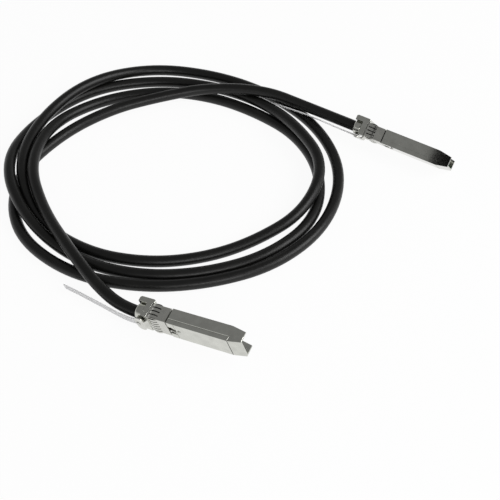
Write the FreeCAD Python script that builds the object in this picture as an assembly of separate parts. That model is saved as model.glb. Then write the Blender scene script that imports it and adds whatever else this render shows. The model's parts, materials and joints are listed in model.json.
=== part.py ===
import FreeCAD, Part
import math
import os

# Direct attach copper cable: two pluggable metal modules joined by a loosely coiled round cable.
# Millimetres, +Z up. The cable lies on the surface z = 0 and the modules rest on it.
#
# Each module is modelled in its own frame and then set down on the surface:
#   x  along the module, 0 at the open nose, negative towards the cable
#   y  through the thickness, from the plain back face (0) to the latch face (thickness)
#   z  across the width

# ---- module body -------------------------------------------------------------------------
width = 13.4
thickness = 8.5
seam = 6.0               # the cover starts here, measured from the back face
plug_length = 41.0       # the stretch that goes into the cage
neck_length = 11.8       # the waist that carries the spring collar
head_length = 3.2
nose_length = 6.8        # the nose keeps its full thickness in one piece
taper_length = 7.4
taper_back = 1.3         # how far the back face falls away at the nose
taper_latch = 1.3        # and the latch face
nose_wall = 0.9
side_wall = 1.2
floor_wall = 1.2
roof_wall = 2.1
neck_inset = 0.35
relief_width = 0.8       # groove between the plug and the collar
relief_depth = 0.4       # below the waist
mouth_cutback = 6.6
cover_gap = 0.12
edge_round = 0.35
pocket_wall = 2.3        # between the inner pocket and the head
cable_hole_lead = 1.0    # the core's hole starts this far inside the pocket

# ---- grip: an arm on the back of the head that reaches over the clamp -------------------
grip_rise = 2.1          # above the back face
grip_drop = 0.9          # below it, behind the head
grip_lap = 0.8           # the grip starts this far ahead of the head
grip_overhang = 0.2      # and ends this far behind the clamp
grip_round = 1.2
grip_edge_round = 0.4

# ---- spring collar -----------------------------------------------------------------------
collar_sheet = 0.2
collar_front_gap = 0.7
collar_end_gap = 0.3
finger_tail = 0.8        # band left behind the fingers
finger_length = 5.0
finger_bulge = 0.62
finger_gap = 0.65
finger_root = 0.15       # how far each finger runs on under the band
narrow_finger_count = 4
broad_finger_count = 6
finger_margin = 0.5

# ---- cable and its clamp -----------------------------------------------------------------
cable_diameter = 6.4
core_diameter = 3.4
clamp_length = 4.8
clamp_thickness = 8.6
clamp_inset = 0.7        # narrower than the head by this on each side
clamp_round = 1.2
clamp_play = 0.05        # round the grip
cable_in_clamp = 3.8
core_ring_wall = 0.35
core_ring_length = 3.0
core_ring_play = 0.1

# ---- latch slider, its springs and the pull tab ------------------------------------------
slider_width = 5.8
slider_sheet = 0.6
slider_play = 0.1
slider_depth = 1.2       # from the latch face down to the slider's underside
slider_setback = 0.5     # from the latch post's back to the slider's front edge
slider_window = 2.9
window_length = 5.0
ramp_length = 2.2
ramp_rise = 0.5          # the prongs' front end above the strip
ramp_lip = 0.3           # the prongs' blunt front edge
lug_setback = 3.2        # from the waist's end forward to the lugs
jog_length = 1.2
plate_width = 10.6
plate_reach = 3.6        # over the clamp, from the head's end
plate_round = 2.4
post_width = 2.3
post_length = 2.8
post_height = 0.6
post_root = 0.2          # how far the post runs down into the cover
post_lead = 0.9          # from the post's back edge to the groove
groove_setback = 4.1     # from the plug's end forward to the groove
groove_width = 0.3
groove_depth = 0.25
spring_diameter = 1.0
spring_wire = 0.22
spring_turns = 6
spring_length = 5.6
spring_seat = 0.25       # the spring's axis above the slider's underside
spring_play = 0.2
spring_side_play = 0.1
spring_floor_play = 0.05
lug_length = 0.6
lug_reach = 1.7
tab_sheet = 0.6
tab_lap = 2.0            # how far the tab runs under the end plate
tab_gap = 0.3
rivet_radius = 0.7
rivet_head = 1.25
rivet_head_height = 0.3
rivet_inset = 1.15
rivet_tail = 0.1         # below the tab
fit_gap = 0.03

# ---- card and wiring ---------------------------------------------------------------------
card_recess = 4.2
card_setback = 5.0       # from the plug's end forward to the card's back edge
card_sheet = 1.0
card_back = 3.2
tongue_width = 9.2
tongue_length = 9.0
tongue_bevel = 0.5
card_play = 0.1          # on each side, between the card and the housing's walls
card_ledge = 1.05        # what each ledge under the card's edge reaches inwards
cavity_lead = 0.4
pad_count = 10
pad_pitch = 0.8
pad_width = 0.54
pad_length = 2.6
pad_sheet = 0.08
pad_start = 0.6          # from the card's front edge
pad_step = 0.4           # the power and ground pads are longer by this
chip_size = (3.0, 0.9, 4.4)
chip_place = 19.0
capacitor_size = (1.0, 0.5, 0.5)
capacitor_count = 4
capacitor_start = 6.0    # behind the chip's front
capacitor_pitch = 2.5
capacitor_spacing = 3.6
pair_width = 1.8
pair_height = 1.2
pair_spacing = 2.2
wire_diameter = 0.5
wire_bare = 2.4
wire_root = 0.1
wire_spacing = 0.72
pair_lap = 1.0           # how far each pair's sleeve lies over the card
comb_setback = 1.6       # behind the plug's end
comb_length = 2.6
comb_play = 0.1
screw_setback = 2.0      # from the plug's end forward
screw_spacing = 8.0
screw_radius = 0.8
screw_head_radius = 1.35
screw_head_height = 0.8
screw_head_sink = 0.05
screw_drive_share = 0.7  # of the shank's radius
screw_drive_depth = 0.4
boss_radius = 1.45
boss_root = 0.5          # above the back face
screw_tip_cover = 0.9    # left above the screw's tip
screw_tip_play = 0.1

# ---- worked out from the sizes above -----------------------------------------------------
neck_end = plug_length + neck_length
head_end = neck_end + head_length
clamp_end = head_end + clamp_length
clamp_width = width - 2 * clamp_inset
grip_start = neck_end - grip_lap
grip_end = clamp_end + grip_overhang
cable_start = clamp_end - cable_in_clamp
axis_y = thickness / 2
axis_z = width / 2
slider_under = thickness - slider_depth
recess_floor = slider_under - slider_play
spring_level = slider_under + spring_seat
recess_half = slider_width / 2 + slider_play
cavity_top = thickness - roof_wall
clamp_top = axis_y + clamp_thickness / 2
tab_under = clamp_top + tab_gap
plate_under = tab_under + tab_sheet
plate_top = plate_under + slider_sheet
plate_end = head_end + plate_reach
groove_place = plug_length - groove_setback
slider_front = groove_place + slider_setback
lug_place = neck_end - lug_setback
rivet_place = plate_end - rivet_inset
card_front_face = card_back + card_sheet
card_end = plug_length - card_setback
card_width = width - 2 * (side_wall + card_play)
screw_place = plug_length - screw_setback
comb_place = plug_length + comb_setback
pocket_end = neck_end - pocket_wall
core_end = pocket_end - core_ring_length - 2 * core_ring_play
beyond = 1.0             # how far cutting tools run past what they cut
parts_dir = "parts"


def vec(x, y, z):
    return FreeCAD.Vector(x, y, z)


def block(x0, x1, y0, y1, z0, z1):
    """Box between two corners; x is given as a distance behind the nose."""
    return Part.makeBox(x1 - x0, y1 - y0, z1 - z0, vec(-x1, y0, z0))


def side_prism(points, z0, z1):
    """Outline given as (distance behind the nose, y), drawn out across the width."""
    outline = [vec(-x, y, z0) for x, y in points]
    face = Part.Face(Part.makePolygon(outline + outline[:1]))
    return face.extrude(vec(0, 0, z1 - z0))


def plan_prism(points, y0, y1):
    """Outline given as (distance behind the nose, z), drawn out through the thickness."""
    outline = [vec(-x, y0, z) for x, z in points]
    face = Part.Face(Part.makePolygon(outline + outline[:1]))
    return face.extrude(vec(0, y1 - y0, 0))


def rod(radius, x0, x1, y, z):
    """Cylinder along the module."""
    return Part.makeCylinder(radius, x1 - x0, vec(-x1, y, z), vec(1, 0, 0))


def stud(radius, y0, y1, x, z):
    """Cylinder through the thickness."""
    return Part.makeCylinder(radius, y1 - y0, vec(-x, y0, z), vec(0, 1, 0))


def stadium(length_x0, length_x1, y, z, high, wide):
    """Round-ended bar along the module; wide is its size across the width."""
    r = high / 2
    half = wide / 2 - r
    x = -length_x1
    low = Part.Arc(vec(x, y + r, z - half), vec(x, y, z - half - r), vec(x, y - r, z - half))
    top = Part.Arc(vec(x, y - r, z + half), vec(x, y, z + half + r), vec(x, y + r, z + half))
    edges = [
        low.toShape(),
        Part.makeLine(vec(x, y - r, z - half), vec(x, y - r, z + half)),
        top.toShape(),
        Part.makeLine(vec(x, y + r, z + half), vec(x, y + r, z - half)),
    ]
    return Part.Face(Part.Wire(edges)).extrude(vec(length_x1 - length_x0, 0, 0))


def edges_along(shape, axis, test):
    """Straight edges parallel to one axis whose midpoint passes a test."""
    chosen = []
    for edge in shape.Edges:
        if edge.Curve.TypeId != "Part::GeomLine":
            continue
        along = edge.tangentAt(edge.FirstParameter)
        if abs(abs(along.dot(axis)) - 1) < 1e-6 and test(edge.CenterOfMass):
            chosen.append(edge)
    return chosen


def screw_spots():
    for side in (-1, 1):
        yield screw_place, axis_z + side * screw_spacing / 2


def spring_spots():
    for side in (-1, 1):
        yield axis_z + side * (recess_half + lug_reach / 2)


def body_blank():
    """Outer form of the closed module, nose to head, before it is split along the seam."""
    profile = [
        (0, taper_back),
        (taper_length, 0),
        (head_end, 0),
        (head_end, thickness),
        (nose_length, thickness),
        (0, thickness - taper_latch),
    ]
    blank = side_prism(profile, 0, width)
    bend = edges_along(blank, vec(0, 0, 1), lambda c: c.y < 0.01 and abs(c.x + taper_length) < 0.01)
    blank = blank.makeFillet(taper_length, bend)
    for x1, inset in ((neck_end, neck_inset), (plug_length + relief_width, neck_inset + relief_depth)):
        blank = blank.cut(sleeve(plug_length, x1, inset))
    return blank


def sleeve(x0, x1, inset):
    """What a waist between two stations loses: all that lies outside the inset section."""
    around = block(x0, x1, -beyond, thickness + beyond, -beyond, width + beyond)
    return around.cut(block(x0, x1, inset, thickness - inset, inset, width - inset))


def slider_channel():
    return block(groove_place, head_end + beyond, recess_floor, thickness + beyond,
                 axis_z - recess_half, axis_z + recess_half)


def spring_pockets():
    pockets = []
    start = lug_place - spring_length - spring_play
    bottom = spring_level - spring_diameter / 2 - spring_floor_play
    half = lug_reach / 2 + spring_side_play
    for z in spring_spots():
        pockets.append(block(start, neck_end - spring_play, bottom, thickness, z - half, z + half))
    return pockets


def make_arm(clearance):
    """The grip's arm behind the head, grown by a clearance where the clamp makes room for it."""
    return block(head_end - beyond, grip_end + clearance, -grip_rise - clearance, grip_drop + clearance,
                 -clearance, width + clearance)


def make_grip():
    """Full-width bar on the back of the head; its arm hangs over the clamp."""
    bar = block(grip_start, grip_end, -grip_rise, 0, 0, width)
    grip = bar.fuse(make_arm(0)).removeSplitter()
    grip = grip.makeFillet(grip_round, edges_along(grip, vec(0, 0, 1), lambda c: c.y < -beyond))
    return grip.makeFillet(grip_edge_round, edges_along(grip, vec(1, 0, 0), lambda c: c.y < -beyond))


def make_housing():
    """Die-cast tray with the nose hood, the head's grip and the ledges for the card."""
    blank = body_blank()
    tray = blank.common(block(-beyond, head_end + beyond, -beyond, seam, -beyond, width + beyond))
    hood = blank.common(block(-beyond, nose_length, -beyond, thickness + beyond, -beyond, width + beyond))
    housing = tray.fuse([hood, make_grip()])
    inner_start = nose_length + nose_wall
    deep_half = card_width / 2 + card_play - card_ledge
    pocket = block(inner_start, pocket_end, card_back, seam + beyond, side_wall, width - side_wall)
    deep = block(inner_start, pocket_end, floor_wall, card_back, axis_z - deep_half, axis_z + deep_half)
    mouth = block(-beyond, inner_start, taper_back + nose_wall, thickness - taper_latch - nose_wall,
                  nose_wall, width - nose_wall)
    cutback = block(-beyond, mouth_cutback, -beyond, axis_y, nose_wall, width - nose_wall)
    housing = housing.cut([pocket, deep, mouth, cutback])
    housing = housing.fuse([stud(boss_radius, boss_root, seam, x, z) for x, z in screw_spots()])
    holes = [core_hole()]
    for x, z in screw_spots():
        holes.append(stud(screw_radius + fit_gap, -beyond, seam + beyond, x, z))
        holes.append(stud(screw_head_radius + fit_gap, -beyond, screw_head_height, x, z))
    return housing.cut(holes).removeSplitter()


def core_hole():
    return rod(core_diameter / 2 + fit_gap, pocket_end - cable_hole_lead, head_end + beyond, axis_y, axis_z)


def make_cover():
    """Die-cast lid with the latch post, the slider's channel and the spring pockets."""
    lid = body_blank().common(block(nose_length + cover_gap, head_end + beyond, seam, thickness + beyond,
                                    -beyond, width + beyond))
    lid = lid.cut(block(nose_length + nose_wall + cavity_lead, pocket_end, seam - beyond, cavity_top,
                        side_wall, width - side_wall))
    bosses = [stud(boss_radius, seam, cavity_top, x, z) for x, z in screw_spots()]
    post_back = groove_place - post_lead
    ramp = [(post_back, thickness - post_root), (post_back, thickness + post_height),
            (post_back - post_length, thickness - post_root)]
    post = side_prism(ramp, axis_z - post_width / 2, axis_z + post_width / 2)
    lid = lid.fuse(bosses + [post])
    groove = block(groove_place, groove_place + groove_width, thickness - groove_depth, thickness + beyond,
                   -beyond, width + beyond)
    cuts = [slider_channel(), groove, core_hole()] + spring_pockets()
    for x, z in screw_spots():
        cuts.append(stud(screw_radius + fit_gap, seam - beyond, thickness - screw_tip_cover, x, z))
    return lid.cut(cuts).removeSplitter()


def make_collar():
    """Folded spring-steel band round the waist with rows of bowed contact fingers."""
    x0 = plug_length + collar_front_gap
    x1 = neck_end - collar_end_gap
    inner = neck_inset
    outer = neck_inset - collar_sheet
    band = block(x0, x1, outer, thickness - outer, outer, width - outer)
    band = band.makeFillet(edge_round, edges_along(band, vec(1, 0, 0), lambda c: True))
    hollow = block(x0 - beyond, x1 + beyond, inner, thickness - inner, inner, width - inner)
    f1 = x1 - finger_tail
    f0 = f1 - finger_length
    windows = [
        block(f0, f1, -beyond, thickness + beyond, finger_margin, width - finger_margin),
        block(f0, f1, finger_margin, thickness - finger_margin, -beyond, width + beyond),
    ]
    band = band.cut([hollow] + windows)
    fingers = finger_row(f0, f1, broad_finger_count, width, "broad")
    fingers += finger_row(f0, f1, narrow_finger_count, thickness, "narrow")
    return band.fuse(fingers).removeSplitter()


def finger_row(f0, f1, count, face_size, face):
    """Bowed fingers on the two opposite faces of one kind, evenly spaced across the face."""
    pitch = (face_size - 2 * finger_margin + finger_gap) / count
    finger_width = pitch - finger_gap
    reach = thickness if face == "broad" else width
    inner = neck_inset
    outer = neck_inset - collar_sheet
    a0 = f0 - finger_root
    a1 = f1 + finger_root
    middle = (a0 + a1) / 2
    row = []
    for side in (0, 1):
        def level(depth, place):
            rise = depth if side == 0 else reach - depth
            return vec(-place, rise, 0) if face == "broad" else vec(-place, 0, rise)
        edges = [
            Part.Arc(level(outer, a0), level(outer - finger_bulge, middle), level(outer, a1)).toShape(),
            Part.makeLine(level(outer, a1), level(inner, a1)),
            Part.Arc(level(inner, a1), level(inner - finger_bulge, middle), level(inner, a0)).toShape(),
            Part.makeLine(level(inner, a0), level(outer, a0)),
        ]
        section = Part.Face(Part.Wire(edges))
        for index in range(count):
            start = finger_margin + index * pitch
            across = vec(0, 0, 1) if face == "broad" else vec(0, 1, 0)
            finger = section.extrude(across * finger_width)
            finger.translate(across * start)
            row.append(finger)
    return row


def make_clamp():
    """Pillow-shaped clamp that grips the cable behind the head."""
    clamp = stadium(head_end, clamp_end, axis_y, axis_z, clamp_thickness, clamp_width)
    ends = (-head_end, -clamp_end)
    rims = [edge for edge in clamp.Edges if min(abs(edge.CenterOfMass.x - end) for end in ends) < 1e-6]
    clamp = clamp.makeFillet(clamp_round, rims)
    cable_seat = rod(cable_diameter / 2, cable_start, clamp_end + beyond, axis_y, axis_z)
    core_seat = rod(core_diameter / 2 + fit_gap, head_end - beyond, clamp_end, axis_y, axis_z)
    return clamp.cut([make_arm(clamp_play), cable_seat, core_seat])


def make_slider():
    """Folded strip: two ramped prongs beside the latch post, a jog and a round-cornered end plate."""
    bottom = slider_under
    top = slider_under + slider_sheet
    jog_end = neck_end + jog_length
    side = [
        (slider_front, bottom),
        (neck_end + slider_sheet, bottom),
        (jog_end + slider_sheet, plate_under),
        (plate_end, plate_under),
        (plate_end, plate_top),
        (jog_end, plate_top),
        (neck_end, top),
        (slider_front + ramp_length, top),
        (slider_front + ramp_lip, top + ramp_rise),
        (slider_front, top + ramp_rise - ramp_lip),
    ]
    strip = side_prism(side, 0, width)
    high = 2 * thickness
    half = slider_width / 2
    plate_half = plate_width / 2
    lug_half = half + lug_reach
    neck = block(slider_front - beyond, neck_end + beyond, 0, high, axis_z - half, axis_z + half)
    lugs = block(lug_place, lug_place + lug_length, 0, high, axis_z - lug_half, axis_z + lug_half)
    fold = block(neck_end, jog_end + plate_round, 0, high, axis_z - half, axis_z + half)
    plate = block(jog_end + slider_sheet, plate_end, 0, high, axis_z - plate_half, axis_z + plate_half)
    plate = plate.makeFillet(plate_round, edges_along(plate, vec(0, 1, 0), lambda c: True))
    plan = neck.fuse([lugs, fold, plate])
    window = block(slider_front - beyond, slider_front + window_length, 0, high,
                   axis_z - slider_window / 2, axis_z + slider_window / 2)
    return strip.common(plan).cut([window, rivet_hole()]).removeSplitter()


def rivet_hole():
    return stud(rivet_radius + fit_gap, 0, 2 * thickness, rivet_place, axis_z)


def make_spring(z):
    """Close-wound tension spring between the pocket's front wall and the slider's lug."""
    x0 = lug_place - spring_length
    step = spring_length / (2 * spring_turns)
    outer = spring_diameter / 2
    bore = outer - 2 * spring_wire
    points = []
    for index in range(2 * spring_turns + 1):
        radius = outer if index % 2 else outer - spring_wire
        points.append(vec(-x0 - index * step, spring_level, z + radius))
    points.append(vec(-lug_place, spring_level, z + bore))
    points.append(vec(-x0, spring_level, z + bore))
    face = Part.Face(Part.makePolygon(points + points[:1]))
    return face.revolve(vec(-x0, spring_level, z), vec(1, 0, 0), 360)


def tab_section(x, y, z, half, sheet, ahead=0):
    """Rectangle across the pull tab at one station."""
    x -= ahead
    corners = [vec(-x, y - sheet / 2, z - half), vec(-x, y + sheet / 2, z - half),
               vec(-x, y + sheet / 2, z + half), vec(-x, y - sheet / 2, z + half)]
    return Part.makePolygon(corners + corners[:1])


def make_tab(stations):
    """Moulded strip that runs back beside the cable, through one section at each station."""
    level = tab_under + tab_sheet / 2
    sections = [tab_section(plate_end, level, axis_z, stations[0][3], tab_sheet, tab_lap)]
    for x, dy, dz, half in stations:
        sections.append(tab_section(plate_end + x, level + dy, axis_z + dz, half, tab_sheet))
    return Part.makeLoft(sections, True, True).cut(rivet_hole())


def make_rivet():
    shank = stud(rivet_radius, tab_under - rivet_tail, plate_top, rivet_place, axis_z)
    head = stud(rivet_head, plate_top, plate_top + rivet_head_height, rivet_place, axis_z)
    return shank.fuse(head).removeSplitter()


def make_card():
    """Circuit card: a narrow tongue with bevelled corners, then the full-width board."""
    tongue, board = tongue_width / 2, card_width / 2
    shoulder = card_recess + tongue_length
    half = [(card_recess, tongue - tongue_bevel), (card_recess + tongue_bevel, tongue), (shoulder, tongue),
            (shoulder, board), (card_end, board)]
    outline = [(x, axis_z + z) for x, z in half]
    outline += [(x, axis_z - z) for x, z in reversed(half)]
    return plan_prism(outline, card_back, card_front_face)


def make_pads():
    """Gold edge contacts on both faces of the tongue."""
    pads = []
    x0 = card_recess + pad_start
    first = axis_z - (pad_count - 1) * pad_pitch / 2
    for index in range(pad_count):
        z = first + index * pad_pitch
        x1 = x0 + pad_length - (pad_step if index % 3 else 0)
        for y0 in (card_back - pad_sheet, card_front_face):
            pads.append(block(x0, x1, y0, y0 + pad_sheet, z - pad_width / 2, z + pad_width / 2))
    return Part.makeCompound(pads)


def make_chip():
    length, high, wide = chip_size
    return block(chip_place, chip_place + length, card_front_face, card_front_face + high,
                 axis_z - wide / 2, axis_z + wide / 2)


def make_capacitors():
    length, high, wide = capacitor_size
    row = []
    for index in range(capacitor_count):
        x = chip_place + capacitor_start + (index // 2) * capacitor_pitch
        z = axis_z + (index % 2 - 0.5) * capacitor_spacing
        row.append(block(x, x + length, card_front_face, card_front_face + high, z - wide / 2, z + wide / 2))
    return Part.makeCompound(row)


def pair_centre(side):
    return card_front_face + pair_height / 2, axis_z + side * pair_spacing / 2


def make_pair(side):
    """Shielded wire pair from the cable's core to the card, with its two bare ends."""
    y, z = pair_centre(side)
    cut_end = card_end - pair_lap
    shield = stadium(cut_end, core_end, y, z, pair_height, pair_width)
    wires = []
    for shift in (-1, 1):
        wires.append(rod(wire_diameter / 2, cut_end - wire_bare, cut_end + wire_root,
                         card_front_face + wire_diameter / 2, z + shift * wire_spacing / 2))
    return shield.fuse(wires)


def make_comb():
    """Plastic comb that holds the pairs in the tray."""
    comb = block(comb_place, comb_place + comb_length, card_back, cavity_top - comb_play,
                 side_wall, width - side_wall)
    slots = []
    for side in (-1, 1):
        y, z = pair_centre(side)
        slots.append(stadium(comb_place - beyond, comb_place + comb_length + beyond, y, z,
                             pair_height, pair_width))
    return comb.cut(slots)


def make_core():
    return rod(core_diameter / 2, core_end, cable_start, axis_y, axis_z)


def make_core_ring():
    start = core_end + core_ring_play
    ring = rod(core_diameter / 2 + core_ring_wall, start, start + core_ring_length, axis_y, axis_z)
    return ring.cut(make_core())


def make_screws():
    screws = []
    for x, z in screw_spots():
        tip = thickness - screw_tip_cover - screw_tip_play
        shank = stud(screw_radius, screw_head_height, tip, x, z)
        head = stud(screw_head_radius, screw_head_sink, screw_head_height, x, z)
        driver = stud(screw_radius * screw_drive_share, 0, screw_drive_depth, x, z)
        screws.append(head.fuse(shank).cut(driver))
    return Part.makeCompound(screws)


# Pull tab stations: distance behind the end plate's edge, y shift, z shift, half width.
near_tab = [
    (4.4, 0.0, 0.0, 2.3),
    (9.4, -0.3, -0.4, 2.3),
    (14.4, -1.0, -0.9, 2.2),
    (20.4, -1.9, -1.5, 2.2),
    (26.4, -2.8, -2.1, 2.1),
    (37.4, -4.4, -3.1, 2.0),
    (46.4, -5.5, -3.9, 1.9),
]
far_tab = [
    (4.4, 0.0, 0.0, 1.8),
    (13.4, 0.0, -2.2, 1.8),
    (21.4, 0.0, -5.2, 1.8),
    (30.4, 0.0, -5.6, 1.8),
    (37.4, 0.2, -5.0, 1.8),
    (44.4, 0.45, -4.2, 1.8),
    (53.4, 0.85, -3.4, 1.7),
]


def make_module(tab_stations):
    parts = {
        "housing": make_housing(),
        "cover": make_cover(),
        "spring_collar": make_collar(),
        "cable_clamp": make_clamp(),
        "circuit_card": make_card(),
        "contact_pads": make_pads(),
        "memory_chip": make_chip(),
        "capacitors": make_capacitors(),
        "send_pair": make_pair(-1),
        "receive_pair": make_pair(1),
        "wire_comb": make_comb(),
        "cable_core": make_core(),
        "core_ring": make_core_ring(),
        "cover_screws": make_screws(),
        "latch_slider": make_slider(),
        "pull_tab": make_tab(tab_stations),
        "tab_rivet": make_rivet(),
    }
    for name, z in zip(("lower_spring", "upper_spring"), spring_spots()):
        parts[name] = make_spring(z)
    return parts


# ---- how each module lies ----------------------------------------------------------------
# Heading and pitch of the nose and roll about the length, in degrees, and where the nose's
# corner stands. The height comes from setting the module down on the surface.
near_pose = {"yaw": -26.8, "pitch": 10.0, "roll": 10.7, "place": (-12.28, -88.79)}
far_pose = {"yaw": -31.8, "pitch": 0.0, "roll": 40.4, "place": (102.82, 39.19)}


def module_axes(pose):
    yaw, pitch, roll = (math.radians(pose[key]) for key in ("yaw", "pitch", "roll"))
    along = vec(math.cos(yaw) * math.cos(pitch), math.sin(yaw) * math.cos(pitch), math.sin(pitch))
    level = along.cross(vec(0, 0, 1)).normalize()
    down = along.cross(level) * -1
    if down.z > 0:
        down = down * -1
    through = level * math.cos(roll) + down * math.sin(roll)
    return along, through, along.cross(through)


def placement(pose, height):
    along, through, across = module_axes(pose)
    x, y = pose["place"]
    matrix = FreeCAD.Matrix(along.x, through.x, across.x, x,
                            along.y, through.y, across.y, y,
                            along.z, through.z, across.z, height,
                            0, 0, 0, 1)
    return FreeCAD.Placement(matrix)


def set_down(parts, pose):
    """Turns the module to its pose and lifts it until its lowest point is on the surface."""
    turned = placement(pose, 0)
    lowest = 0
    for shape in parts.values():
        moved = shape.copy()
        moved.Placement = turned.multiply(moved.Placement)
        lowest = min(lowest, moved.optimalBoundingBox().ZMin)
    final = placement(pose, -lowest)
    for shape in parts.values():
        shape.Placement = final.multiply(shape.Placement)
    return final


# ---- the cable ---------------------------------------------------------------------------
# The coil is laid clockwise by hand. Each turn has 14 stations, and each station has its
# distance from the coil's centre and how far it is lifted off the surface by what it crosses.
coil_centre = (-50.88, 36.79)
coil_start_angle = -128.57
stations_per_turn = 14
coil_turns = [
    [(84.5, 8.3), (80.0, 7.1), (84.5, 8.8), (86.5, 4.9), (81.5, 0), (73.0, 0), (68.0, 0),
     (68.5, 0), (75.5, 0), (81.0, 0), (84.0, 0), (79.0, 0), (75.5, 0), (77.5, 0)],
    [(83.0, 0), (90.5, 4.8), (99.0, 8.7), (99.5, 0), (95.5, 0), (84.5, 0), (78.0, 0),
     (74.5, 3.9), (74.5, 8.6), (82.5, 8.2), (77.5, 4.4), (66.5, 0), (64.0, 0), (67.0, 0.2)],
    [(74.0, 0), (84.5, 0.7), (91.5, 7.7), (93.0, 7.0), (94.5, 8.0), (97.0, 1.2), (90.5, 0),
     (88.0, 0), (90.5, 0), (93.0, 0.2), (91.0, 0), (86.5, 0), (82.5, 0), (85.0, 0)],
    [(92.5, 0), (98.5, 0), (93.0, 0), (79.0, 0), (68.5, 2.8), (62.5, 5.6), (68.0, 8.6),
     (78.5, 10.6)],
]
near_lead = 14.0         # straight run out of each clamp
far_lead = 16.0
near_bend = (-88.38, -49.21, 8.1)
far_bend = (22.62, 88.29, 9.5)
arc_share = 0.45         # of the shorter run beside each point


def coil_points():
    points = []
    step = math.radians(360 / stations_per_turn)
    angle = math.radians(coil_start_angle)
    for turn in coil_turns:
        for radius, lift in turn:
            points.append(vec(coil_centre[0] + radius * math.cos(angle),
                              coil_centre[1] + radius * math.sin(angle), cable_diameter / 2 + lift))
            angle -= step
    return points


def lead_points(place, lead):
    return [place.multVec(vec(-cable_start - run, axis_y, axis_z)) for run in (0, lead)]


def cable_route(near_place, far_place):
    route = lead_points(near_place, near_lead)
    route.append(vec(*near_bend))
    route += coil_points()
    route.append(vec(*far_bend))
    route += reversed(lead_points(far_place, far_lead))
    return route


def tube(points, diameter):
    """Straight runs joined by tangent arcs, as large as the two runs beside each point allow."""
    edges = []
    radii = []
    at = points[0]
    for before, corner, after in zip(points, points[1:], points[2:]):
        back = (before - corner).normalize()
        ahead = (after - corner).normalize()
        turn = math.pi - back.getAngle(ahead)
        setback = arc_share * min((corner - before).Length, (after - corner).Length)
        radius = setback / math.tan(turn / 2)
        radii.append(radius)
        start = corner + back * setback
        end = corner + ahead * setback
        inward = (back + ahead).normalize()
        centre = corner + inward * math.hypot(radius, setback)
        middle = centre - inward * radius
        edges.append(Part.LineSegment(at, start).toShape())
        edges.append(Part.Arc(start, middle, end).toShape())
        at = end
    edges.append(Part.LineSegment(at, points[-1]).toShape())
    path = Part.Wire(edges)
    along = (points[1] - points[0]).normalize()
    ring = Part.Wire(Part.Circle(points[0], along, diameter / 2).toShape())
    solid = path.makePipeShell([ring], True, False)
    section = math.pi * diameter ** 2 / 4
    print("cable length", round(path.Length, 1), "volume ratio", round(solid.Volume / (section * path.Length), 5))
    print("bend radii", [round(radius) for radius in radii])
    return solid


def save(name, shape):
    shape.exportStep(os.path.join(parts_dir, name + ".step"))


def main():
    os.makedirs(parts_dir, exist_ok=True)
    places = {}
    box = FreeCAD.BoundBox()
    for end, pose, tab in (("near", near_pose, near_tab), ("far", far_pose, far_tab)):
        parts = make_module(tab)
        places[end] = set_down(parts, pose)
        for name, shape in parts.items():
            save(end + "_" + name, shape)
            box.add(shape.BoundBox)
    route = cable_route(places["near"], places["far"])
    save("cable", tube(route, cable_diameter))
    print("modules span", box)


main()
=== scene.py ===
import bpy
import bmesh
import json
import math
from mathutils import Matrix, Vector


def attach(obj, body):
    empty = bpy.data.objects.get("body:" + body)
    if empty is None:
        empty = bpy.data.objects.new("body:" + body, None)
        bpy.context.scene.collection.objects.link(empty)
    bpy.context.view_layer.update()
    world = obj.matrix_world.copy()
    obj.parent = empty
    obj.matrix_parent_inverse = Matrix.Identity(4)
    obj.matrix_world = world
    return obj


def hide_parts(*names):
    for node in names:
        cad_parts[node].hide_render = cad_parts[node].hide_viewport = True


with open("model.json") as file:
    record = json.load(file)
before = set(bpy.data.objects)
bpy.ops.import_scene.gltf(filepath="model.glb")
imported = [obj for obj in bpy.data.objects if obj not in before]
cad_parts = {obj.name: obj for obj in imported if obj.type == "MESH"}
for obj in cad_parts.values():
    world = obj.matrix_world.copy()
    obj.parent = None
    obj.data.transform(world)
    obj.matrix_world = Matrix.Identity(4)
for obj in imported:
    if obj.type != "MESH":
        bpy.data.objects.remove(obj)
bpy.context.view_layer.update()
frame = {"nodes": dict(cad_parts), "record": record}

MM = 0.001
ENDS = ("near", "far")
ALONG, ACROSS = Vector((1, 0, 0)), Vector((0, 0, 1))

# ---- sizes that the dressing shares with the construction, in millimetres ----------------
THICKNESS = 8.5
WIDTH = 13.4
SEAM = 6.0               # where the cover meets the housing, from the back face
STEP = 6.92              # the cover's front edge, behind the nose
PLUG_LENGTH = 41.0
NECK_END = 52.8
HEAD_END = 56.0
CABLE_DIAMETER = 6.4
CABLE_START = 57.0       # where the jacket seats in its clamp, behind the nose
LEADS = {"near": 14.0, "far": 16.0}  # straight run out of each clamp

# ---- the cable's route, in millimetres ---------------------------------------------------
COIL_CENTRE = (-50.88, 36.79)
COIL_START_ANGLE = -128.57
STATIONS_PER_TURN = 14
# distance from the coil's centre and lift off the floor, station by station, clockwise from above
COIL_TURNS = [
    [(84.5, 8.3), (80.0, 7.1), (84.5, 8.8), (86.5, 4.9), (82.5, 0), (75.5, 0), (70.0, 0),
     (69.0, 0), (75.5, 0), (81.0, 0), (84.0, 0), (79.0, 0), (75.5, 0), (77.5, 0)],
    [(83.0, 0), (90.5, 4.8), (99.0, 8.7), (99.5, 0), (95.5, 0), (86.2, 0), (80.0, 0),
     (75.0, 3.9), (74.5, 8.6), (82.5, 8.2), (77.5, 4.4), (66.5, 0), (65.0, 0), (68.3, 0.2)],
    [(75.4, 0), (85.0, 0.7), (91.5, 7.7), (93.0, 7.0), (94.5, 8.0), (97.0, 1.2), (90.5, 0),
     (88.0, 0), (90.5, 0), (93.0, 0.2), (91.0, 0), (86.5, 0), (82.5, 0), (85.0, 0)],
    [(92.5, 0), (98.5, 0), (93.0, 0), (79.0, 0), (68.5, 2.8), (63.0, 5.6), (68.0, 8.6),
     (78.5, 10.6)],
]
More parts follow.
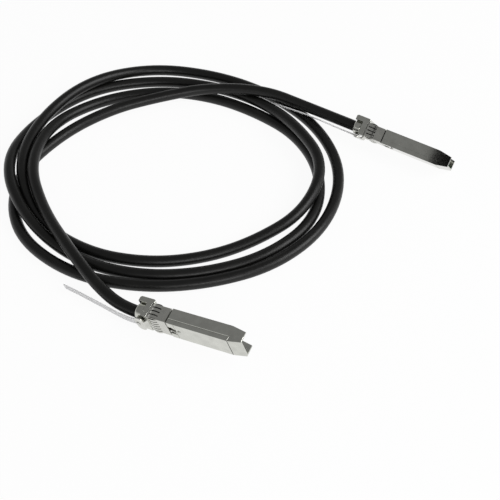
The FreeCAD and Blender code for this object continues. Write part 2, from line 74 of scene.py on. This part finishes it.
NEAR_BEND = (-88.38, -49.21, 8.1)
FAR_BEND = (22.62, 88.29, 9.5)

# ---- how the metal pieces are dressed ----------------------------------------------------
WIDE_CHAMFER = 0.42      # mm, along the seam, the cover's front edge and the head's end
MATCH = 0.02             # mm, how close a point lies to a plane to count as on it
WAIST_DEPTHS = (0.2, 1.0)  # mm below the outer faces: the waist and its groove lie between these, and get painted shade
STEP_REACH = 0.4         # mm from the cover's front edge that its chamfer may lie; that chamfer gets a painted gap shadow
SHARP = math.radians(40)
SMOOTH = math.radians(32)
WELD = 0.000002          # metres
FLAT = math.radians(0.5)
CAST_PIECES = (("housing", "cast_housing", 0.12), ("cover", "cast_cover", 0.10))  # bevel in mm
OTHER_PIECES = (         # node, piece, bevel in mm, bevel segments
    ("spring_collar", "finger_collar", 0.03, 1),
    ("cable_clamp", "pillow_clamp", 0, 0),
    ("latch_slider", "folded_slider", 0.08, 2),
    ("tab_rivet", "rivet", 0.12, 2),
    ("pull_tab", "tab_strip", 0.15, 3),
    ("circuit_card", "edge_card", 0.05, 2),
    ("cover_screws", "screws", 0.08, 2),
)

# ---- studio ------------------------------------------------------------------------------
FLOOR_WHITE_SHARE = 0.94
WALL_GREY = 0.85
CEILING_GREY = 0.27
SKY_STOPS = (0.10, 0.45)  # heights on the unit sky where the wall ends and the ceiling starts
FLOOR_SIZE = 6.0
LAMPS = (                # name, place, size in metres, power in watts
    ("softbox_right", (1.1, -0.2, 0.9), (1.0, 1.0), 14),
    ("softbox_front", (0.35, -1.3, 0.7), (1.0, 0.6), 8),
)
LAMP_AIM = (0, 0.03, 0)
FLAG_STARTS = 11.0       # mm behind the far module's nose, where its mirror image begins
FLAG_DISTANCE = 0.14
FLAG_SIZE = 0.09
CAMERA_PLACE = (-0.01088, -0.36521, 0.3969)
CAMERA_TILT = 41.2       # degrees up from straight down
CAMERA_LENS = 70.92


def deselect():
    bpy.ops.object.select_all(action="DESELECT")


def module_frame(end):
    """Matrix from a module's own axes (along, through, across; millimetres) to the row frame."""
    mounts = {mount["name"]: mount for mount in frame["record"]["mounts"]}
    nose = Vector(mounts[end + "_plug"]["pos_m"])
    along = Vector(mounts[end + "_plug"]["axis"]).normalized()
    through = -Vector(mounts[end + "_back_face"]["axis"]).normalized()
    across = along.cross(through)
    corner = nose - through * (THICKNESS / 2 * MM) - across * (WIDTH / 2 * MM)
    turn = Matrix((along, through, across)).transposed().to_4x4()
    return Matrix.Translation(corner) @ turn @ Matrix.Scale(MM, 4)


MODULE = {end: module_frame(end) for end in ENDS}
SLOTS = {part["node"]: part["material_slot"] for part in frame["record"]["subparts"]}


# ---- materials ---------------------------------------------------------------------------
def new_material(name, colour, roughness, metallic=0.0, **sockets):
    """A material with one principled shader; returns it with its node tree and shader."""
    material = bpy.data.materials.new(name)
    material.use_nodes = True
    tree = material.node_tree
    shader = tree.nodes["Principled BSDF"]
    shader.inputs["Base Color"].default_value = (*colour, 1)
    shader.inputs["Roughness"].default_value = roughness
    shader.inputs["Metallic"].default_value = metallic
    for socket, value in sockets.items():
        shader.inputs[socket.replace("_", " ")].default_value = value
    return material, tree, shader


def noise(tree, scale, detail=3.0, stretch=None):
    """A noise texture on the piece's own coordinates; returns its grey value."""
    source = tree.nodes.new("ShaderNodeTexCoord").outputs["Object"]
    texture = tree.nodes.new("ShaderNodeTexNoise")
    texture.inputs["Scale"].default_value = scale
    texture.inputs["Detail"].default_value = detail
    if stretch:
        mapping = tree.nodes.new("ShaderNodeMapping")
        mapping.inputs["Scale"].default_value = stretch
        tree.links.new(source, mapping.inputs["Vector"])
        source = mapping.outputs["Vector"]
    tree.links.new(source, texture.inputs["Vector"])
    return texture.outputs["Fac"]


def ramp(tree, source, target, stops):
    """Colour ramp between two sockets: stops are (place, colour or grey)."""
    node = tree.nodes.new("ShaderNodeValToRGB")
    for element, (place, value) in zip(node.color_ramp.elements, stops):
        element.position = place
        element.color = (*value, 1) if isinstance(value, tuple) else (value, value, value, 1)
    tree.links.new(source, node.inputs["Fac"])
    tree.links.new(node.outputs["Color"], target)


def bump(tree, shader, height, strength, distance):
    node = tree.nodes.new("ShaderNodeBump")
    node.inputs["Strength"].default_value = strength
    node.inputs["Distance"].default_value = distance
    tree.links.new(height, node.inputs["Height"])
    tree.links.new(node.outputs["Normal"], shader.inputs["Normal"])


def nickel(name, colour, roughness, grain):
    """Nickel plate: cloudy colour, uneven roughness and a fine cast or rolled grain."""
    material, tree, shader = new_material(name, colour, roughness, 1.0)
    darker = tuple(0.88 * value for value in colour)
    ramp(tree, noise(tree, 260.0, 4.0), shader.inputs["Base Color"], [(0.35, darker), (0.65, colour)])
    ramp(tree, noise(tree, 900.0), shader.inputs["Roughness"],
         [(0.3, roughness * 0.85), (0.7, roughness * 1.2)])
    bump(tree, shader, noise(tree, grain, 2.0), 0.12, 0.00002)
    return material


def cable_jacket():
    """Black extruded jacket: soft satin with a faint orange-peel skin."""
    material, tree, shader = new_material("cable_jacket", (0.004, 0.004, 0.0037), 0.4,
                                          Specular_IOR_Level=0.32)
    ramp(tree, noise(tree, 120.0), shader.inputs["Base Color"],
         [(0.3, (0.003, 0.003, 0.0028)), (0.7, (0.0055, 0.0055, 0.005))])
    skin = noise(tree, 1500.0, 2.0)
    ramp(tree, skin, shader.inputs["Roughness"], [(0.3, 0.30), (0.7, 0.42)])
    bump(tree, shader, skin, 0.12, 0.00004)
    return material


def shade_paint(name, grey, roughness):
    """Dull near-black material, uneven in tone, used as painted shade."""
    material, tree, shader = new_material(name, (grey, grey, grey), roughness, Specular_IOR_Level=0.25)
    cloud = noise(tree, 800.0)
    ramp(tree, cloud, shader.inputs["Base Color"], [(0.3, grey * 0.6), (0.7, grey * 1.4)])
    bump(tree, shader, cloud, 0.2, 0.00003)
    return material


def tab_plastic():
    """Milky translucent plastic strip."""
    material, tree, shader = new_material("tab_plastic", (0.80, 0.80, 0.805), 0.45, Transmission_Weight=0.1,
                                          IOR=1.4, Specular_IOR_Level=0.3)
    haze = noise(tree, 400.0, 2.0)
    ramp(tree, haze, shader.inputs["Roughness"], [(0.3, 0.42), (0.7, 0.52)])
    bump(tree, shader, haze, 0.1, 0.00003)
    return material


def circuit_board():
    """Green solder mask with the faint streaks of traces under it."""
    material, tree, shader = new_material("circuit_board", (0.02, 0.11, 0.05), 0.35)
    ramp(tree, noise(tree, 700.0, 1.0, stretch=(1.0, 6.0, 1.0)), shader.inputs["Base Color"],
         [(0.45, (0.015, 0.09, 0.04)), (0.55, (0.03, 0.15, 0.07))])
    return material


def plain(name, colour, roughness, metallic=0.0):
    """Small inner piece: plain colour with a fine skin."""
    material, tree, shader = new_material(name, colour, roughness, metallic)
    bump(tree, shader, noise(tree, 1200.0, 2.0), 0.15, 0.00003)
    return material


FINISH = {
    "nickel_casting": nickel("nickel_casting", (0.60, 0.605, 0.56), 0.11, 2600.0),
    "spring_steel": nickel("spring_steel", (0.60, 0.60, 0.56), 0.24, 1800.0),
    "stamped_steel": nickel("stamped_steel", (0.66, 0.66, 0.62), 0.26, 2000.0),
    "nickel_steel": nickel("nickel_steel", (0.62, 0.62, 0.60), 0.25, 2000.0),
    "circuit_board": circuit_board(),
    "gold_contacts": plain("gold_contacts", (0.80, 0.55, 0.20), 0.22, 1.0),
    "black_chip": plain("black_chip", (0.02, 0.02, 0.02), 0.5),
    "ceramic_capacitors": plain("ceramic_capacitors", (0.30, 0.20, 0.12), 0.4),
    "pair_shield": plain("pair_shield", (0.70, 0.70, 0.71), 0.35, 1.0),
    "white_comb": plain("white_comb", (0.70, 0.70, 0.66), 0.5),
    "tab_film": tab_plastic(),
    "cable_jacket": cable_jacket(),
}
# near-black painted shade for the sunken waist, its groove and the gap behind the hood
PAINTED_SHADE_FINISH = shade_paint("painted_shade_waist", 0.012, 0.6)


def finish_nodes():
    """Each CAD node takes the finish that the record names for it."""
    for name, node in frame["nodes"].items():
        node.data.materials.clear()
        node.data.materials.append(FINISH[SLOTS[name]])


# ---- the cable ---------------------------------------------------------------------------
def coil_points():
    points = []
    step = math.radians(360 / STATIONS_PER_TURN)
    angle = math.radians(COIL_START_ANGLE)
    for turn in COIL_TURNS:
        for radius, lift in turn:
            x = COIL_CENTRE[0] + radius * math.cos(angle)
            y = COIL_CENTRE[1] + radius * math.sin(angle)
            points.append(Vector((x, y, CABLE_DIAMETER / 2 + lift)) * MM)
            angle -= step
    return points


def lead_points(end):
    """Where the jacket starts in a clamp, and the end of the straight run out of it."""
    return [MODULE[end] @ Vector((-CABLE_START - run, THICKNESS / 2, WIDTH / 2)) for run in (0, LEADS[end])]


def make_cable():
    route = lead_points("near")
    route.append(Vector(NEAR_BEND) * MM)
    route += coil_points()
    route.append(Vector(FAR_BEND) * MM)
    route += reversed(lead_points("far"))
    curve = bpy.data.curves.new("round_cable", "CURVE")
    curve.dimensions = "3D"
    curve.resolution_u = 10
    curve.bevel_depth = CABLE_DIAMETER / 2 * MM
    curve.bevel_resolution = 7
    curve.use_fill_caps = True
    spline = curve.splines.new("NURBS")
    spline.points.add(len(route) - 1)
    for point, place in zip(spline.points, route):
        point.co = (*place, 1)
    spline.order_u = 3
    spline.use_endpoint_u = True
    cable = bpy.data.objects.new("round_cable", curve)
    bpy.context.scene.collection.objects.link(cable)
    cable.data.materials.append(FINISH["cable_jacket"])
    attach(cable, "modules_and_cable")
    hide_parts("cable")


# ---- the modules' metal pieces -----------------------------------------------------------
def select_only(piece):
    deselect()
    piece.select_set(True)
    bpy.context.view_layer.objects.active = piece


def apply_modifiers(piece):
    select_only(piece)
    for name in [modifier.name for modifier in piece.modifiers]:
        bpy.ops.object.modifier_apply(modifier=name)


def body_of(node):
    for body, nodes in frame["record"]["behaviour"]["bodies"].items():
        if node in nodes:
            return body


def on_wide_edge(ends):
    """Whether an edge, given by its ends in module axes, lies on the seam, the step or the head's end."""
    def near(value, *planes):
        return min(abs(value - plane) for plane in planes) < MATCH
    on_sides = all(near(p.z, 0, WIDTH) for p in ends)
    on_broad_faces = all(near(p.y, 0, THICKNESS) for p in ends)
    on_seam = on_sides and all(near(p.y, SEAM) for p in ends)
    on_head = all(near(p.x, -HEAD_END) for p in ends) and (on_sides or on_broad_faces)
    on_step = all(near(p.x, -STEP) and near(p.y, THICKNESS) for p in ends)
    return on_seam or on_head or on_step


def weigh_edges(piece, end, bevel):
    """Every sharp edge gets the plain bevel; the seam, the step and the head's end get the wide one."""
    to_module = MODULE[end].inverted()
    form = bmesh.new()
    form.from_mesh(piece.data)
    weight = form.edges.layers.float.new("bevel_weight_edge")
    for edge in form.edges:
        if len(edge.link_faces) == 2 and edge.calc_face_angle() >= SHARP:
            wide = on_wide_edge([to_module @ vertex.co for vertex in edge.verts])
            edge[weight] = 1.0 if wide else bevel / WIDE_CHAMFER
    form.to_mesh(piece.data)
    form.free()


def paint_waist_shade(piece, end):
    """Painted shade: the waist under the spring collar and the groove's bottom are dull black, and the
    chamfer at the cover's front edge behind the hood is a painted gap shadow.
    """
    to_module = MODULE[end].inverted()
    turn = to_module.to_3x3()
    piece.data.materials.append(PAINTED_SHADE_FINISH)
    for face in piece.data.polygons:
        place = to_module @ face.center
        facing = (turn @ face.normal).normalized()
        depths = ((-facing.z, place.z), (facing.z, WIDTH - place.z), (-facing.y, place.y),
                  (facing.y, THICKNESS - place.y))
        sunk = any(turned > 0.9 and WAIST_DEPTHS[0] < depth < WAIST_DEPTHS[1] for turned, depth in depths)
        # painted shade on the sunken faces of the waist and its groove
        in_waist = PLUG_LENGTH < -place.x < NECK_END and sunk
        # painted gap shadow on the chamfer at the cover's front edge, behind the hood
        in_step = abs(place.x + STEP) < STEP_REACH and 0.5 < facing.x < 0.95 and facing.y > 0.3
        if in_waist or in_step:
            face.material_index = 1


def dressed_copy(end, part, name, bevel, segments, cast=False):
    """The node's solid with its facets joined, its edges broken and its curves shaded smooth."""
    node = end + "_" + part
    piece = frame["nodes"][node].copy()
    piece.data = piece.data.copy()
    piece.name = end + "_" + name
    bpy.context.scene.collection.objects.link(piece)
    select_only(piece)
    bpy.ops.object.mode_set(mode="EDIT")
    bpy.ops.mesh.select_all(action="SELECT")
    bpy.ops.mesh.remove_doubles(threshold=WELD)
    bpy.ops.mesh.dissolve_limited(angle_limit=FLAT)
    bpy.ops.object.mode_set(mode="OBJECT")
    if bevel:
        edge = piece.modifiers.new("broken_edges", "BEVEL")
        edge.width = (WIDE_CHAMFER if cast else bevel) * MM
        edge.segments = segments
        edge.limit_method = "WEIGHT" if cast else "ANGLE"
        edge.angle_limit = SHARP
        if cast:
            weigh_edges(piece, end, bevel)
        apply_modifiers(piece)
    select_only(piece)
    bpy.ops.object.shade_smooth_by_angle(angle=SMOOTH)
    if bevel:
        flat = piece.modifiers.new("flat_faces", "WEIGHTED_NORMAL")
        flat.keep_sharp = True
        apply_modifiers(piece)
    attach(piece, body_of(node))
    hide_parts(node)
    return piece


def make_metalwork(end):
    for part, name, bevel in CAST_PIECES:
        paint_waist_shade(dressed_copy(end, part, name, bevel, 1, cast=True), end)
    for part, name, bevel, segments in OTHER_PIECES:
        dressed_copy(end, part, name, bevel, segments)


# ---- floor, light and camera -------------------------------------------------------------
def seen_ray(tree, names):
    """1 for rays of the named kinds: straight from the camera, or sent on by metal or clear plastic."""
    path = tree.nodes.new("ShaderNodeLightPath")
    total = path.outputs[names[0]]
    for name in names[1:]:
        larger = tree.nodes.new("ShaderNodeMath")
        larger.operation = "MAXIMUM"
        tree.links.new(total, larger.inputs[0])
        tree.links.new(path.outputs[name], larger.inputs[1])
        total = larger.outputs[0]
    return total


def make_floor():
    """Pale table: white to the eye and in reflections, with a faint contact shadow left in."""
    deselect()
    bpy.ops.mesh.primitive_plane_add(size=FLOOR_SIZE, location=(0, 0, 0))
    floor = bpy.context.object
    floor.name = "studio_floor"
    material, tree, shader = new_material("studio_floor", (0.90, 0.90, 0.90), 0.9, Specular_IOR_Level=0.0)
    glow = tree.nodes.new("ShaderNodeEmission")
    glow.inputs["Color"].default_value = (1, 1, 1, 1)
    mix = tree.nodes.new("ShaderNodeMixShader")
    share = tree.nodes.new("ShaderNodeMath")
    share.operation = "MULTIPLY"
    share.inputs[1].default_value = FLOOR_WHITE_SHARE
    tree.links.new(seen_ray(tree, ("Is Camera Ray", "Is Glossy Ray", "Is Transmission Ray")), share.inputs[0])
    tree.links.new(share.outputs[0], mix.inputs[0])
    tree.links.new(shader.outputs[0], mix.inputs[1])
    tree.links.new(glow.outputs[0], mix.inputs[2])
    tree.links.new(mix.outputs[0], tree.nodes["Material Output"].inputs["Surface"])
    floor.data.materials.append(material)


def make_world():
    """Pale wall near the horizon under a dim grey ceiling; plain white where the eye meets it."""
    world = bpy.data.worlds.new("studio")
    bpy.context.scene.world = world
    world.use_nodes = True
    tree = world.node_tree
    place = tree.nodes.new("ShaderNodeTexCoord")
    split = tree.nodes.new("ShaderNodeSeparateXYZ")
    tree.links.new(place.outputs["Generated"], split.inputs[0])
    mix = tree.nodes.new("ShaderNodeMixRGB")
    ramp(tree, split.outputs["Z"], mix.inputs["Color1"], list(zip(SKY_STOPS, (WALL_GREY, CEILING_GREY))))
    tree.links.new(seen_ray(tree, ("Is Camera Ray", "Is Transmission Ray")), mix.inputs["Fac"])
    mix.inputs["Color2"].default_value = (1, 1, 1, 1)
    background = tree.nodes["Background"]
    tree.links.new(mix.outputs["Color"], background.inputs["Color"])
    background.inputs["Strength"].default_value = 1.0


def make_lights():
    for name, place, size, power in LAMPS:
        lamp = bpy.data.lights.new(name, "AREA")
        lamp.shape = "RECTANGLE"
        lamp.size, lamp.size_y = size
        lamp.energy = power
        item = bpy.data.objects.new(name, lamp)
        bpy.context.scene.collection.objects.link(item)
        item.location = place
        item.rotation_euler = (Vector(LAMP_AIM) - Vector(place)).to_track_quat("-Z", "Y").to_euler()


def make_flag():
    """Dark card that only mirror-like rays meet; the far module's narrow face mirrors it at the nose."""
    module = MODULE["far"]
    turn = module.to_3x3()
    along, across = ((turn @ axis).normalized() for axis in (ALONG, ACROSS))
    edge = module @ Vector((-FLAG_STARTS, THICKNESS / 2, 0))
    sight = (edge - Vector(CAMERA_PLACE)).normalized()
    mirrored = sight - 2 * sight.dot(across) * across
    middle = edge + mirrored * FLAG_DISTANCE + along * FLAG_SIZE / 2
    deselect()
    bpy.ops.mesh.primitive_plane_add(size=FLAG_SIZE)
    flag = bpy.context.object
    flag.name = "dark_flag"
    flag.matrix_world = Matrix.Translation(middle) @ turn.normalized().to_4x4()
    material, tree, shader = new_material("dark_flag", (0.01, 0.01, 0.01), 0.9, Specular_IOR_Level=0.0)
    flag.data.materials.append(material)
    flag.visible_camera = flag.visible_diffuse = flag.visible_shadow = flag.visible_transmission = False


def make_camera():
    data = bpy.data.cameras.new("camera")
    data.lens = CAMERA_LENS
    data.sensor_width = 36.0
    data.clip_start = 0.01
    camera = bpy.data.objects.new("camera", data)
    bpy.context.scene.collection.objects.link(camera)
    camera.location = CAMERA_PLACE
    camera.rotation_euler = (math.radians(CAMERA_TILT), 0, 0)
    bpy.context.scene.camera = camera
    bpy.context.scene.view_settings.view_transform = "Standard"


finish_nodes()
make_cable()
for module_end in ENDS:
    make_metalwork(module_end)
make_floor()
make_world()
make_lights()
make_flag()
make_camera()
